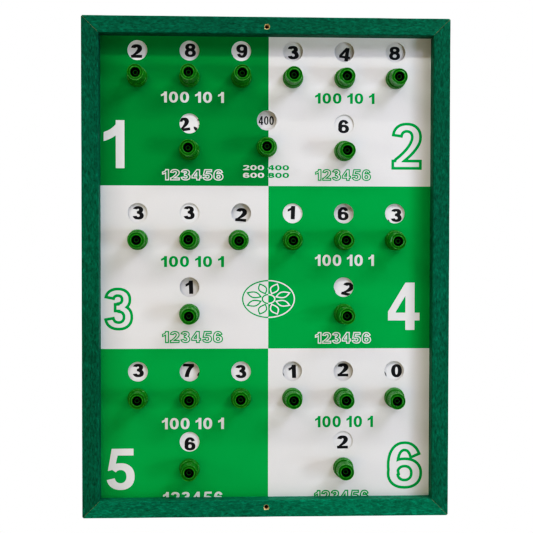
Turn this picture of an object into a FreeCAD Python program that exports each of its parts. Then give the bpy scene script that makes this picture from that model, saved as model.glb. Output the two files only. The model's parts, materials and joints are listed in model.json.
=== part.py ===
import FreeCAD, Part
import os
from math import cos, radians, sin

# Wall-hung scoreboard for six players. A mitred wooden tray frame holds a thin front panel.
# Behind each round window a number wheel turns; its spindle passes through the panel and
# carries a stepped knob in front. Millimetres. X to the right, Z up, and the front looks
# towards -Y. The origin lies midway between the two wall screw holes, on the back face.

# frame
opening_width = 490.0
opening_height = 684.0
rail_face = 25.0            # width of a rail seen from the front
rail_depth = 36.0
recess_depth = 18.5         # the panel lies this far behind the rails' front faces
rear_wall = 10.0            # what the rebate leaves of a rail
arris = 1.0                 # broken front edges

# panels
panel_thickness = 1.2
panel_gap = 0.5             # between a panel's edge and the rebate
back_thickness = 3.0

# wall screw holes and the blocks behind the panel
screw_hole_radius = 3.0
screw_hole_spacing = 705.2
block_width = 14.0
mounting_block_length = 90.0
spacer_block_length = 40.0

# places of the dials, given by their windows
column_pitch = 76.5
column_offset = 0.8         # the columns' centre line lies slightly right of the frame's
upper_window_rows = (321.0, 81.5, -154.0)
lower_window_rows = (213.8, -28.4, -258.9)
target_window = (0.5, 219.0)
window_radius = 14.8
window_sides = 20
dial_drop = 39.6            # from a window's centre down to its knob's axis
stray_dial = "f3_units"     # one spindle hole was drilled out of line with its window
stray_offset = -3.7

# number wheels, in layers so that neighbours pass behind each other
wheel_radius = 56.0
wheel_thickness = 1.0
wheel_gap = 0.3
wheel_sides = 20            # two flats for each number keep the repeated wheels light
spindle_radius = 5.0
spindle_flats = 8.0         # across the two flats that key the knob to it
spindle_clearance = 0.05    # radial running clearance in the panel
bearing_sides = 12

# knobs
knob_length = 31.0          # from the panel's face to the knob's front
knob_gap = 0.5              # between the panel and the knob's skirt
skirt_radius = 15.0
skirt_length = 11.0
tube_radius_back = 12.5
tube_radius_front = 11.9
well_radius = 6.8
well_depth = 19.0
knob_sides = 20             # flats in place of true circles, for the same reason
well_sides = 12

# worked out from the above
outer_width = opening_width + 2 * rail_face
outer_height = opening_height + 2 * rail_face
front_face = -rail_depth
panel_front = front_face + recess_depth
panel_back = panel_front + panel_thickness
back_panel_front = -back_thickness
rebate_half_width = outer_width / 2 - rear_wall
rebate_half_height = outer_height / 2 - rear_wall
layer_pitch = wheel_thickness + wheel_gap
knob_back = panel_front - knob_gap

# Each dial: the column that it stands in, and the wheel's layer counted from the panel.
# Left fields use columns 0 to 2 and right fields 3 to 5; the fourth dial is the lower one.
upper_dials = ("hundreds", "tens", "units")
field_layers = {
    "f1": (0, 1, 0, 0),
    "f2": (1, 2, 1, 0),
    "f3": (1, 0, 3, 3),
    "f4": (0, 3, 1, 1),
    "f5": (1, 3, 1, 0),
    "f6": (2, 3, 1, 0),
}
target_layer = 3


def vec(x, y, z):
    return FreeCAD.Vector(x, y, z)


def column_x(column):
    return column_offset + (column - 2.5) * column_pitch


def all_dials():
    """Every dial's name, window place, spindle place and wheel layer."""
    places = []
    for number, (field, layers) in enumerate(field_layers.items()):
        row = number // 2
        first_column = 3 * (number % 2)
        for place, name in enumerate(upper_dials):
            window = (column_x(first_column + place), upper_window_rows[row])
            places.append((field + "_" + name, window, layers[place]))
        window = (column_x(first_column + 1), lower_window_rows[row])
        places.append((field + "_rounds", window, layers[3]))
    places.append(("target", target_window, target_layer))
    dials = []
    for name, (x, z), layer in places:
        offset = stray_offset if name == stray_dial else 0
        dials.append((name, (x, z), (x + offset, z - dial_drop), layer))
    return dials


def box(x_low, x_high, y_low, y_high, z_low, z_high):
    size = (x_high - x_low, y_high - y_low, z_high - z_low)
    return Part.makeBox(*size, vec(x_low, y_low, z_low))


def rod(radius, x, z, y_low, y_high):
    return Part.makeCylinder(radius, y_high - y_low, vec(x, y_low, z), vec(0, 1, 0))


def face_of(points):
    return Part.Face(Part.makePolygon(points + [points[0]]))


def ring_points(radius, sides, x, y, z):
    """The corners of a regular polygon round the axis through (x, z), at depth y."""
    turns = [radians(i * 360.0 / sides) for i in range(sides)]
    return [vec(x + radius * sin(turn), y, z + radius * cos(turn)) for turn in turns]


def turned(radius_back, radius_front, y_back, y_front, sides, x, z):
    """A turned length of a dial, straight or tapered, drawn with flats."""
    back = ring_points(radius_back, sides, x, y_back, z)
    front = ring_points(radius_front, sides, x, y_front, z)
    faces = [face_of(back), face_of(front)]
    for i in range(sides):
        faces.append(face_of([back[i - 1], back[i], front[i], front[i - 1]]))
    return Part.makeSolid(Part.makeShell(faces))


def bored(radius, y_back, y_front, sides, x, z):
    """A cutter for a hole whose flats stand off the axis by the radius."""
    reach = radius / cos(radians(180.0 / sides))
    return turned(reach, reach, y_back, y_front, sides, x, z)


def write(name, shape):
    shape.exportStep("parts/" + name + ".step")


# ---- frame rails: one L-shaped moulding, mitred at both ends ----
def rail(length):
    """A rail along X with its outer edge at z = 0 and the opening above it."""
    start = -length / 2
    section = face_of([
        vec(start, front_face, arris),
        vec(start, front_face + arris, 0),
        vec(start, 0, 0),
        vec(start, 0, rear_wall),
        vec(start, panel_front, rear_wall),
        vec(start, panel_front, rail_face),
        vec(start, front_face + arris, rail_face),
        vec(start, front_face, rail_face - arris),
    ])
    moulding = section.extrude(vec(length, 0, 0))
    mitre = face_of([
        vec(start, front_face, 0),
        vec(-start, front_face, 0),
        vec(-start - rail_face, front_face, rail_face),
        vec(start + rail_face, front_face, rail_face),
    ])
    return moulding.common(mitre.extrude(vec(0, rail_depth, 0)))


def placed(shape, turn, x, z):
    shape.rotate(vec(0, 0, 0), vec(0, 1, 0), turn)
    shape.translate(vec(x, 0, z))
    return shape


def screw_holes(y_low, y_high):
    half = screw_hole_spacing / 2
    top = rod(screw_hole_radius, 0, half, y_low, y_high)
    return top.fuse(rod(screw_hole_radius, 0, -half, y_low, y_high))


through_rails = screw_holes(front_face - 1, 1)
write("frame_bottom", placed(rail(outer_width), 0, 0, -outer_height / 2).cut(through_rails))
write("frame_top", placed(rail(outer_width), 180, 0, outer_height / 2).cut(through_rails))
write("frame_left", placed(rail(outer_height), 90, -outer_width / 2, 0))
write("frame_right", placed(rail(outer_height), -90, outer_width / 2, 0))


# ---- panels and the blocks that hold them apart ----
def panel(y_front, thickness):
    half_x = rebate_half_width - panel_gap
    half_z = rebate_half_height - panel_gap
    return box(-half_x, half_x, y_front, y_front + thickness, -half_z, half_z)


dials = all_dials()
cuts = [screw_holes(panel_front - 1, panel_back + 1)]
for name, window, axis, layer in dials:
    through = (panel_back + 1, panel_front - 1)
    cuts.append(bored(window_radius, *through, window_sides, *window))
    cuts.append(bored(spindle_radius + spindle_clearance, *through, bearing_sides, *axis))
write("front_panel", panel(panel_front, panel_thickness).cut(cuts))
write("back_panel", panel(back_panel_front, back_thickness).cut(screw_holes(-back_thickness - 1, 1)))


def block(x, z, x_size, z_size):
    low = (x - x_size / 2, z - z_size / 2)
    return box(low[0], low[0] + x_size, panel_back, back_panel_front, low[1], low[1] + z_size)


block_z = rebate_half_height - block_width / 2
block_x = rebate_half_width - block_width / 2
between_rows_1 = (upper_window_rows[0] + upper_window_rows[1]) / 2 - dial_drop
between_rows_2 = (upper_window_rows[1] + upper_window_rows[2]) / 2 - dial_drop
corner_x = 212.0
mounting = [block(0, side * block_z, mounting_block_length, block_width) for side in (1, -1)]
spacers = []
for side in (1, -1):
    for z in (between_rows_1, between_rows_2):
        spacers.append(block(side * block_x, z, block_width, spacer_block_length))
    for x in (corner_x, -corner_x):
        spacers.append(block(x, side * block_z, spacer_block_length, block_width))
drilled = [piece.cut(screw_holes(panel_back - 1, back_panel_front + 1)) for piece in mounting]
write("mounting_blocks", Part.makeCompound(drilled))
write("spacer_blocks", Part.makeCompound(spacers))


# ---- dials: a number wheel with its spindle, and the knob in front ----
def number_wheel(x, z, layer):
    wheel_front = panel_back + wheel_gap + layer * layer_pitch
    wheel_back = wheel_front + wheel_thickness
    disc = turned(wheel_radius, wheel_radius, wheel_back, wheel_front, wheel_sides, x, z)
    half = spindle_flats / 2
    between_flats = box(x - half, x + half, knob_back, wheel_front, z - spindle_radius, z + spindle_radius)
    spindle = rod(spindle_radius, x, z, knob_back, wheel_front).common(between_flats)
    return disc.fuse(spindle).removeSplitter()


def knob(x, z):
    knob_front = panel_front - knob_length
    shoulder = knob_back - skirt_length
    well_floor = knob_front + well_depth
    skirt = turned(skirt_radius, skirt_radius, knob_back, shoulder, knob_sides, x, z)
    tube = turned(tube_radius_back, tube_radius_front, shoulder, knob_front, knob_sides, x, z)
    well = bored(well_radius, well_floor, knob_front - 1, well_sides, x, z)
    return skirt.fuse(tube).cut(well).removeSplitter()


for name, window, axis, layer in dials:
    write("wheel_" + name, number_wheel(*axis, layer))
    write("knob_" + name, knob(*axis))
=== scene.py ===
import json
from math import atan2, cos, hypot, pi, radians, sin, sqrt

import bmesh
import bpy
from mathutils import Euler, Matrix, Vector, noise
from mathutils.geometry import delaunay_2d_cdt

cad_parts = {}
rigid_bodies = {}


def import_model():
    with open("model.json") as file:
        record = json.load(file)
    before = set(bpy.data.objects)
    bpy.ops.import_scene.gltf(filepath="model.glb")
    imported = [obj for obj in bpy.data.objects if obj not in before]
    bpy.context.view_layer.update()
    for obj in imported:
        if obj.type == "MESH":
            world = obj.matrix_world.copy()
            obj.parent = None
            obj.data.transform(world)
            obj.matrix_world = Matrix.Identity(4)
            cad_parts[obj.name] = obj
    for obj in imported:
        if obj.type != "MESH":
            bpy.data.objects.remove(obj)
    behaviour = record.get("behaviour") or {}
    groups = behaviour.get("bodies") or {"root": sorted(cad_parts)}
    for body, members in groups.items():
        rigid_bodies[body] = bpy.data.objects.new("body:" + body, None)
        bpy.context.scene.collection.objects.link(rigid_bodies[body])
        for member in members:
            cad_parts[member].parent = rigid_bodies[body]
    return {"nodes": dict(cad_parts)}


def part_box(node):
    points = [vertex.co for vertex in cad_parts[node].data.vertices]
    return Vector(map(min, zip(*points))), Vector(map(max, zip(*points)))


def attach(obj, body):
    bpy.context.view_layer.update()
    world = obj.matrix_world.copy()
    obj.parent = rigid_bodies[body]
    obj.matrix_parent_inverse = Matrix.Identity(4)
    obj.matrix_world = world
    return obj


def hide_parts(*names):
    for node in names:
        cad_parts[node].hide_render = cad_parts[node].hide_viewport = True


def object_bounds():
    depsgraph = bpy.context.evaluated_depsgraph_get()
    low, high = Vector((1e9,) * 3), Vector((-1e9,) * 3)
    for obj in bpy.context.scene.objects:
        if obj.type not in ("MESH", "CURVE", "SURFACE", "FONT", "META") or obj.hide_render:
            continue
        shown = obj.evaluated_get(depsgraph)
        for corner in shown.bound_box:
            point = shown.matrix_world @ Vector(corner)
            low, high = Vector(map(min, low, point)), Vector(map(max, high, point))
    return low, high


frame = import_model()
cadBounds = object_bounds()
scene = bpy.context.scene
mm = 0.001
print("frame loaded:", len(frame["nodes"]), "nodes")

# where everything lies, worked out from the frame
panelLow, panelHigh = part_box("front_panel")
panelFront = panelLow.y
railLow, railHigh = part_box("frame_left")
railFace = railHigh.x - railLow.x
frontFace = railLow.y
halfWidth, halfHeight = -railLow.x, railHigh.z
openingHalfHeight = halfHeight - railFace
rearWall = 10.0 * mm            # what the rebate leaves of a rail
screwHeight = 352.6 * mm        # of the wall screw holes, from the middle
screwRadius = 3.0 * mm
windowRadius = 14.65 * mm       # a little inside the flats of the solid's hole
bearingRadius = 5.05 * mm
dialDrop = 39.6 * mm            # from a window's middle down to its dial's axis
windowMiddles = {"f3_units": 3.7 * mm}      # this window isn't straight above its dial
dialNames = [node[5:] for node in sorted(frame["nodes"]) if node.startswith("knob_")]


def dialAxis(name):
    low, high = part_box("knob_" + name)
    return (low.x + high.x) / 2, (low.z + high.z) / 2


def windowPlace(name):
    x, z = dialAxis(name)
    return x + windowMiddles.get(name, 0.0), z + dialDrop


# camera, light and backdrop
view = {
    "place": (-0.0436, -1.2975, 0.0289),
    "pitch": -1.189, "yaw": -1.964, "roll": 0.088,      # degrees
    "focalPixels": 860.83, "imagePixels": 533,
}
lights = {
    # name: place, the point that it faces, width, height, watts, colour, seen in reflections
    "topLeft": ((-2.2, -1.5, 2.71), (-2.2, 0, 0), 4.4, 0.18, 58.0, (0.90, 1.0, 0.92), True),
    "topRight": ((1.5, -1.5, 2.71), (1.5, 0, 0), 3.0, 0.18, 35.0, (0.96, 1.0, 0.93), True),
    "bankRight": ((1.9, -1.5, 2.2), (0, 0, 0), 1.6, 1.0, 45.0, (0.90, 1.0, 1.28), True),
    "bankLeft": ((-1.9, -1.5, 2.2), (0, 0, 0), 1.6, 1.0, 9.5, (1.34, 1.0, 1.19), True),
    "rightLamp": ((2.4, -1.35, 0.0), (0, 0, 0), 0.25, 0.35, 10.0, (1.0, 1.0, 1.0), True),
    "rightLow": ((2.5, -1.6, -0.6), (0, 0, 0), 0.7, 1.2, 29.0, (0.70, 1.0, 1.28), True),
    "left": ((-2.3, -1.1, 0.05), (0, 0, 0), 0.5, 0.7, 9.0, (0.90, 1.0, 0.88), True),
    "leftFront": ((-0.8, -1.7, -0.75), (0, 0, 0), 0.9, 0.9, 4.5, (1.30, 1.0, 0.20), False),
    "back": ((1.5, 2.2, 0.9), (0, 0, 0), 1.4, 1.4, 36.0, (1.0, 1.0, 1.0), True),
    "backFill": ((-2.1, 1.5, 0.4), (0, 0, 0), 1.4, 1.4, 16.0, (1.0, 1.0, 1.0), True),
}
tone = {"knee": 0.25, "contrast": 1.4, "levels": (0.01, 0.03, 0.06, 0.10, 0.15, 0.20, 0.25)}
backdrop = {"floorDrop": 0.42, "floorFront": -3.2, "floorBack": 1.0, "floorHalfWidth": 3.0,
            "floorColour": (0.60, 0.60, 0.59), "floorRoughness": 0.7,
            "skyLight": 0.01, "skyColour": (1.0, 0.85, 0.45)}


def makeObject(name, mesh, *materials):
    piece = bpy.data.objects.new(name, mesh)
    scene.collection.objects.link(piece)
    for material in materials:
        mesh.materials.append(material)
    return piece


def aimCamera():
    data = bpy.data.cameras.new("camera")
    data.sensor_width = 36.0
    data.lens = view["focalPixels"] / view["imagePixels"] * data.sensor_width
    camera = bpy.data.objects.new("camera", data)
    scene.collection.objects.link(camera)
    turn = Euler((radians(90 + view["pitch"]), 0, radians(view["yaw"]))).to_matrix()
    turn = turn @ Matrix.Rotation(radians(view["roll"]), 3, "Z")
    camera.matrix_world = Matrix.Translation(view["place"]) @ turn.to_4x4()
    scene.camera = camera


def hangLights():
    for name, (place, faced, width, height, watts, colour, reflected) in lights.items():
        data = bpy.data.lights.new(name, "AREA")
        data.shape = "RECTANGLE"
        data.size, data.size_y = width, height
        data.energy, data.color = watts, colour
        lamp = bpy.data.objects.new(name, data)
        scene.collection.objects.link(lamp)
        lamp.visible_glossy = reflected
        lamp.location = place
        lamp.rotation_euler = (Vector(place) - Vector(faced)).to_track_quat("Z", "Y").to_euler()


def layBackdrop():
    world = bpy.data.worlds.new("studio")
    scene.world = world
    world.use_nodes = True
    tree = world.node_tree
    seen = tree.nodes["Background"]
    seen.inputs["Color"].default_value = (1, 1, 1, 1)
    seen.inputs["Strength"].default_value = 1.0
    lit = tree.nodes.new("ShaderNodeBackground")
    lit.inputs["Color"].default_value = (*backdrop["skyColour"], 1)
    rays = tree.nodes.new("ShaderNodeLightPath")
    strength = tree.nodes.new("ShaderNodeMapRange")     # the sky isn't seen in reflections
    strength.inputs["To Min"].default_value = backdrop["skyLight"]
    strength.inputs["To Max"].default_value = 0.0
    tree.links.new(rays.outputs["Is Glossy Ray"], strength.inputs["Value"])
    tree.links.new(strength.outputs["Result"], lit.inputs["Strength"])
    mix = tree.nodes.new("ShaderNodeMixShader")
    tree.links.new(rays.outputs["Is Camera Ray"], mix.inputs[0])
    tree.links.new(lit.outputs[0], mix.inputs[1])
    tree.links.new(seen.outputs[0], mix.inputs[2])
    tree.links.new(mix.outputs[0], tree.nodes["World Output"].inputs["Surface"])
    level = cadBounds[0][2] - backdrop["floorDrop"]
    half, near, far = backdrop["floorHalfWidth"], backdrop["floorFront"], backdrop["floorBack"]
    mesh = bpy.data.meshes.new("floor")
    corners = [(-half, near, level), (half, near, level), (half, far, level), (-half, far, level)]
    mesh.from_pydata(corners, [], [(0, 1, 2, 3)])
    paint = bpy.data.materials.new("floorPaint")
    paint.use_nodes = True
    shader = paint.node_tree.nodes["Principled BSDF"]
    shader.inputs["Base Color"].default_value = (*backdrop["floorColour"], 1)
    shader.inputs["Roughness"].default_value = backdrop["floorRoughness"]
    floor = makeObject("floor", mesh, paint)
    floor.visible_glossy = False


def setTone():
    # a plain display with a slight toe below the knee, which keeps the deep greens deep
    settings = scene.view_settings
    settings.view_transform, settings.look = "Standard", "None"
    settings.use_curve_mapping = True
    combined = settings.curve_mapping.curves[3]
    for level in tone["levels"]:
        combined.points.new(level, tone["knee"] * (level / tone["knee"]) ** tone["contrast"])
    settings.curve_mapping.update()


setTone()
aimCamera()
hangLights()
layBackdrop()
print("camera, lights and floor are set")


# small helpers for meshes, node trees and materials
def meshFrom(name, bm, smoothUnder=None):
    mesh = bpy.data.meshes.new(name)
    bmesh.ops.recalc_face_normals(bm, faces=bm.faces)
    bm.to_mesh(mesh)
    bm.free()
    if smoothUnder is not None:         # edges flatter than this many degrees are shaded round
        mesh.shade_smooth()
        mesh.set_sharp_from_angle(angle=radians(smoothUnder))
    return mesh


def addRings(bm, profile, x, z, sides):
    # a closed turned shape about the axis through (x, z), from pole to pole; profile is radius,
    # depth and, where the piece has it, its painted light and wear
    rings = []
    wear = bm.verts.layers.float.new("wear") if len(profile[0]) > 2 else None
    for radius, y, *worn in profile:
        turns = [2 * pi * i / sides for i in range(sides)] if radius else [0.0]
        ring = [bm.verts.new((x + radius * sin(t), y, z + radius * cos(t))) for t in turns]
        if worn:
            for vert in ring:
                vert[wear] = worn[0]
        rings.append(ring)
    for near, far in zip(rings, rings[1:]):
        for i in range(sides):
            corners = [near[i % len(near)], near[(i + 1) % len(near)]]
            corners += [far[(i + 1) % len(far)], far[i % len(far)]]
            bm.faces.new(list(dict.fromkeys(corners)))      # a triangle at a pole


def arcPoints(middle, radius, start, end, steps):
    # radius and depth of points on a small round edge; degrees, 0 is outwards and 90 to the front
    turns = [radians(start + (end - start) * i / steps) for i in range(steps + 1)]
    return [(middle[0] + radius * cos(t), middle[1] - radius * sin(t)) for t in turns]


def addNode(tree, kind, inputs={}, **settings):
    node = tree.nodes.new(kind)
    for name, value in settings.items():
        setattr(node, name, value)
    for name, value in inputs.items():
        if isinstance(value, bpy.types.NodeSocket):
            tree.links.new(value, node.inputs[name])
        else:
            node.inputs[name].default_value = value
    return node


def math(tree, operation, *values):
    return addNode(tree, "ShaderNodeMath", dict(enumerate(values)), operation=operation).outputs[0]


def weighted(tree, *pairs):
    # the sum of some values, each times its share
    parts = [math(tree, "MULTIPLY", value, share) for value, share in pairs]
    total = parts[0]
    for part in parts[1:]:
        total = math(tree, "ADD", total, part)
    return total


def spread(tree, value, low=0.3, high=0.7, newLow=0.0, newHigh=1.0):
    # noise lies mostly between 0.3 and 0.7
    inputs = {"Value": value, "From Min": low, "From Max": high, "To Min": newLow, "To Max": newHigh}
    return addNode(tree, "ShaderNodeMapRange", inputs).outputs["Result"]


def blendColours(tree, share, first, second, way="MIX"):
    inputs = {0: share, 6: first, 7: second}
    for key in (6, 7):
        if isinstance(inputs[key], tuple):      # a plain colour, which needs its alpha
            inputs[key] = (*inputs[key], 1.0)
    return addNode(tree, "ShaderNodeMix", inputs, data_type="RGBA", blend_type=way).outputs[2]


def speckle(tree, place, size, stretch=(1, 1, 1), detail=3.0, rough=0.55, warp=0.0):
    # noise whose patches are about this size, in metres, before the stretch
    scale = tuple(1 / (size * s) for s in stretch)
    placed = addNode(tree, "ShaderNodeMapping", {"Vector": place, "Scale": scale}).outputs[0]
    inputs = {"Vector": placed, "Scale": 1.0, "Detail": detail, "Roughness": rough, "Distortion": warp}
    return addNode(tree, "ShaderNodeTexNoise", inputs).outputs[0]


def mottle(tree, shader, pattern, dark, pale, low=0.3, high=0.7):
    colour = blendColours(tree, spread(tree, pattern, low, high), dark, pale)
    tree.links.new(colour, shader.inputs["Base Color"])


def startMaterial(name, roughness, **sockets):
    material = bpy.data.materials.new(name)
    material.use_nodes = True
    tree = material.node_tree
    shader = tree.nodes["Principled BSDF"]
    shader.inputs["Roughness"].default_value = roughness
    for socket, value in sockets.items():
        shader.inputs[socket.replace("_", " ")].default_value = value
    place = addNode(tree, "ShaderNodeTexCoord").outputs["Object"]
    return material, tree, shader, place


def setBump(tree, shader, height, depth, strength=1.0):
    inputs = {"Height": height, "Distance": depth, "Strength": strength}
    tree.links.new(addNode(tree, "ShaderNodeBump", inputs).outputs[0], shader.inputs["Normal"])


# materials
stain = {
    "deep": (0.0, 0.046, 0.024), "middle": (0.0, 0.112, 0.060), "pale": (0.0, 0.215, 0.125),
    "tones": (0.36, 0.52, 0.69),        # how far up in the grain's noise each of these lies
    "patch": 2.8 * mm, "fibre": 0.55 * mm, "band": 60 * mm, "shares": (0.50, 0.35, 0.15),
    "run": 6.0, "patchRun": 0.35,       # how long the grain is, and how much of that its patches have
    "heightGain": 1.12, "lowerRailGain": 1.30, "relief": 0.35 * mm, "roughness": 0.52, "specular": 0.12,
}


def stainedWood(name, run, gain=1.0):
    # run stretches the grain along the rail; the wood is a little paler towards the bottom
    material, tree, shader, place = startMaterial(name, stain["roughness"],
                                                  Specular_IOR_Level=stain["specular"])
    patchRun = [1 + (s - 1) * stain["patchRun"] for s in run]
    patches = speckle(tree, place, stain["patch"], patchRun, 4.0, 0.6, 0.6)
    fibres = speckle(tree, place, stain["fibre"], run, 3.0, 0.6, 0.3)
    bands = speckle(tree, place, stain["band"], run, 2.0)
    grain = weighted(tree, *zip((patches, fibres, bands), stain["shares"]))
    deep, middle, pale = stain["tones"]
    colour = blendColours(tree, spread(tree, grain, deep, middle), stain["deep"], stain["middle"])
    colour = blendColours(tree, spread(tree, grain, middle, pale), colour, stain["pale"])
    height = addNode(tree, "ShaderNodeSeparateXYZ", {0: place}).outputs[2]
    gain = spread(tree, height, halfHeight, -halfHeight, gain, gain * stain["heightGain"])
    grey = addNode(tree, "ShaderNodeCombineXYZ", {0: gain, 1: gain, 2: gain}).outputs[0]
    colour = blendColours(tree, 1.0, colour, grey, "MULTIPLY")
    tree.links.new(colour, shader.inputs["Base Color"])
    setBump(tree, shader, weighted(tree, (fibres, 0.7), (patches, 0.3)), stain["relief"], 0.8)
    return material


rawWoods = {
    # name: pale colour, dark colour, size of the grain
    "chippedWood": ((0.80, 0.62, 0.34), (0.40, 0.25, 0.10), 0.8 * mm),
    "jointGlue": ((0.42, 0.22, 0.08), (0.20, 0.09, 0.03), 1.5 * mm),
    "pineBlocks": ((0.66, 0.49, 0.29), (0.45, 0.29, 0.14), 1.2 * mm),
    "hardboard": ((0.235, 0.125, 0.060), (0.130, 0.062, 0.028), 1.6 * mm),
}
rawFinish = {"roughness": 0.75, "specular": 0.25, "relief": 0.25 * mm}


def rawWood(name, run=(1, 1, 1)):
    pale, dark, size = rawWoods[name]
    material, tree, shader, place = startMaterial(name, rawFinish["roughness"],
                                                  Specular_IOR_Level=rawFinish["specular"])
    rings = speckle(tree, place, size, run, 4.0, 0.6, 0.8)
    fibres = speckle(tree, place, size * 0.25, run, 2.0)
    grain = weighted(tree, (rings, 0.7), (fibres, 0.3))
    mottle(tree, shader, grain, dark, pale, 0.35, 0.68)
    setBump(tree, shader, grain, rawFinish["relief"], 0.7)
    return material


printColours = {
    "green": (0.0, 0.358, 0.084), "paintedShadeGreen": (0.0, 0.252, 0.058), "white": (0.854, 0.782, 0.762),
    "shade": 0.94, "roughness": 0.22, "specular": 0.25,
    "grain": 0.8 * mm, "grainRelief": 0.010, "wave": 38 * mm, "waveRelief": 0.5 * mm,
    "column": 3.0 * mm, "upperRow": 121.9 * mm, "lowerRow": -120.0 * mm,    # borders of the six fields
}


def startPrint(name):
    # a laminated sheet that isn't quite flat, with a fine grain
    material, tree, shader, place = startMaterial(name, printColours["roughness"],
                                                  Specular_IOR_Level=printColours["specular"])
    waves = speckle(tree, place, printColours["wave"], detail=1.0)
    grain = speckle(tree, place, printColours["grain"], detail=2.0)
    relief = weighted(tree, (waves, 1.0), (grain, printColours["grainRelief"]))
    setBump(tree, shader, relief, printColours["waveRelief"], 0.5)
    return material, tree, shader, grain, place


def inkMaterial(name, colour):
    material, tree, shader, grain = startPrint(name)[:4]
    mottle(tree, shader, grain, tuple(printColours["shade"] * c for c in colour), colour)
    return material


def checkerPrint():
    material, tree, shader, grain, place = startPrint("checkerPrint")
    split = addNode(tree, "ShaderNodeSeparateXYZ", {0: place})
    x, z = split.outputs[0], split.outputs[2]
    right = math(tree, "GREATER_THAN", x, printColours["column"])
    outer = math(tree, "ADD", math(tree, "GREATER_THAN", z, printColours["upperRow"]),
                 math(tree, "LESS_THAN", z, printColours["lowerRow"]))
    isGreen = math(tree, "ABSOLUTE", math(tree, "SUBTRACT", outer, right))
    # the upper left field is printed a deeper green than the others: painted shade, for the lesser light
    # that field gets
    upper = math(tree, "MULTIPLY", outer, math(tree, "GREATER_THAN", z, 0.0))
    green = blendColours(tree, upper, printColours["green"], printColours["paintedShadeGreen"])
    colour = blendColours(tree, isGreen, printColours["white"], green)
    shaded = blendColours(tree, 1.0, colour, (printColours["shade"],) * 3, "MULTIPLY")
    mottle(tree, shader, grain, shaded, colour)
    return material


plastics = {
    # name: colour, roughness, how much its clouds darken it
    "panelCore": ((0.74, 0.70, 0.67), 0.6, 0.12), "wheelPlastic": ((0.825, 0.768, 0.752), 0.42, 0.03),
    "figureInk": ((0.016, 0.014, 0.015), 0.5, 0.2),
}
plasticSkin = {"cloud": 6 * mm, "grain": 0.5 * mm, "relief": 0.02 * mm}


def giveSkin(tree, shader, place):
    grain = speckle(tree, place, plasticSkin["grain"], detail=2.0)
    setBump(tree, shader, grain, plasticSkin["relief"], 0.5)


def smoothPlastic(name):
    colour, roughness, darker = plastics[name]
    material, tree, shader, place = startMaterial(name, roughness)
    clouds = speckle(tree, place, plasticSkin["cloud"])
    mottle(tree, shader, clouds, tuple(c * (1 - darker) for c in colour), colour)
    giveSkin(tree, shader, place)
    return material


knobColours = {
    # shaded is the painted shade of the well and creases; worn is the paler green of painted highlight and
    # wear on the crests and rims
    "shaded": (0.001, 0.006, 0.001), "body": (0.007, 0.150, 0.007), "worn": (0.055, 0.272, 0.022),
    "patch": 2.5 * mm, "wornPatches": (0.30, 0.62), "roughness": 0.20, "specular": 0.5,
}


def wornPlastic():
    # glossy plastic, paler on the crests and rims with painted highlight and wear, and nearly black with
    # painted shade down in the well and in the creases
    polish = knobColours["roughness"]
    material, tree, shader, place = startMaterial("knobPlastic", polish,
                                                  Specular_IOR_Level=knobColours["specular"])
    wear = addNode(tree, "ShaderNodeAttribute", attribute_name="wear").outputs["Fac"]
    patches = speckle(tree, place, knobColours["patch"])
    # painted highlight and wear: above 0.5 the crests and rims blend, in patches, to the paler green
    highlightAndWear = math(tree, "MULTIPLY", spread(tree, wear, 0.5, 1.0),
                  spread(tree, patches, *knobColours["wornPatches"]))
    # painted shade: below 0.5 the well, creases and groove blend towards nearly black
    body = blendColours(tree, spread(tree, wear, 0.0, 0.5), knobColours["shaded"], knobColours["body"])
    colour = blendColours(tree, highlightAndWear, body, knobColours["worn"])
    tree.links.new(colour, shader.inputs["Base Color"])
    dullness = spread(tree, patches, newLow=0.8 * polish, newHigh=1.3 * polish)
    tree.links.new(dullness, shader.inputs["Roughness"])
    giveSkin(tree, shader, place)
    return material


steels = {
    # name: colour, roughness
    "darkSteel": ((0.10, 0.09, 0.045), 0.5), "zincSteel": ((0.62, 0.60, 0.52), 0.34),
}
steelMarks = {"size": 0.9 * mm, "shade": 0.6, "relief": 0.05 * mm}


def steel(name):
    colour, roughness = steels[name]
    material, tree, shader, place = startMaterial(name, roughness, Metallic=1.0)
    marks = speckle(tree, place, steelMarks["size"])
    mottle(tree, shader, marks, tuple(c * steelMarks["shade"] for c in colour), colour, 0.35, 0.65)
    dullness = spread(tree, marks, newLow=roughness * 0.7, newHigh=roughness * 1.3)
    tree.links.new(dullness, shader.inputs["Roughness"])
    setBump(tree, shader, marks, steelMarks["relief"], 0.5)
    return material


alongX, alongZ = (stain["run"], 1, 1), (1, 1, stain["run"])
stainAlongX = stainedWood("stainedWoodAcross", alongX)
stainAlongZ = stainedWood("stainedWoodUpright", alongZ)
stainBelow = stainedWood("stainedWoodBelow", alongX, stain["lowerRailGain"])
chippedWood = rawWood("chippedWood")
jointGlue = rawWood("jointGlue")
pineAcross = rawWood("pineBlocks", alongX)
hardboard = rawWood("hardboard")
printFace = checkerPrint()
whiteInk = inkMaterial("whiteInk", printColours["white"])
greenInk = inkMaterial("greenInk", printColours["green"])
panelCore = smoothPlastic("panelCore")
wheelWhite = smoothPlastic("wheelPlastic")
figureInk = smoothPlastic("figureInk")
knobGreen = wornPlastic()
darkSteel = steel("darkSteel")
zincSteel = steel("zincSteel")
print("materials are mixed")


# figures for the wheels and the print, drawn in a box one unit high
figureStyles = {
    # name: width, stem, bar, gap between figures
    "dial": (0.82, 0.305, 0.20, 0.10), "target": (0.50, 0.155, 0.13, 0.085),
    "numeral": (0.62, 0.18, 0.165, 0.10), "word": (0.74, 0.235, 0.185, 0.16),
    "small": (1.15, 0.34, 0.22, 0.14),
}
# how bold each figure is on the wheels, next to its style: a closed one looks blacker than an open one
dialWeights = {3: 0.97, 4: 0.86, 6: 0.90, 8: 0.84, 9: 0.88, 2: 1.05}


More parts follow.
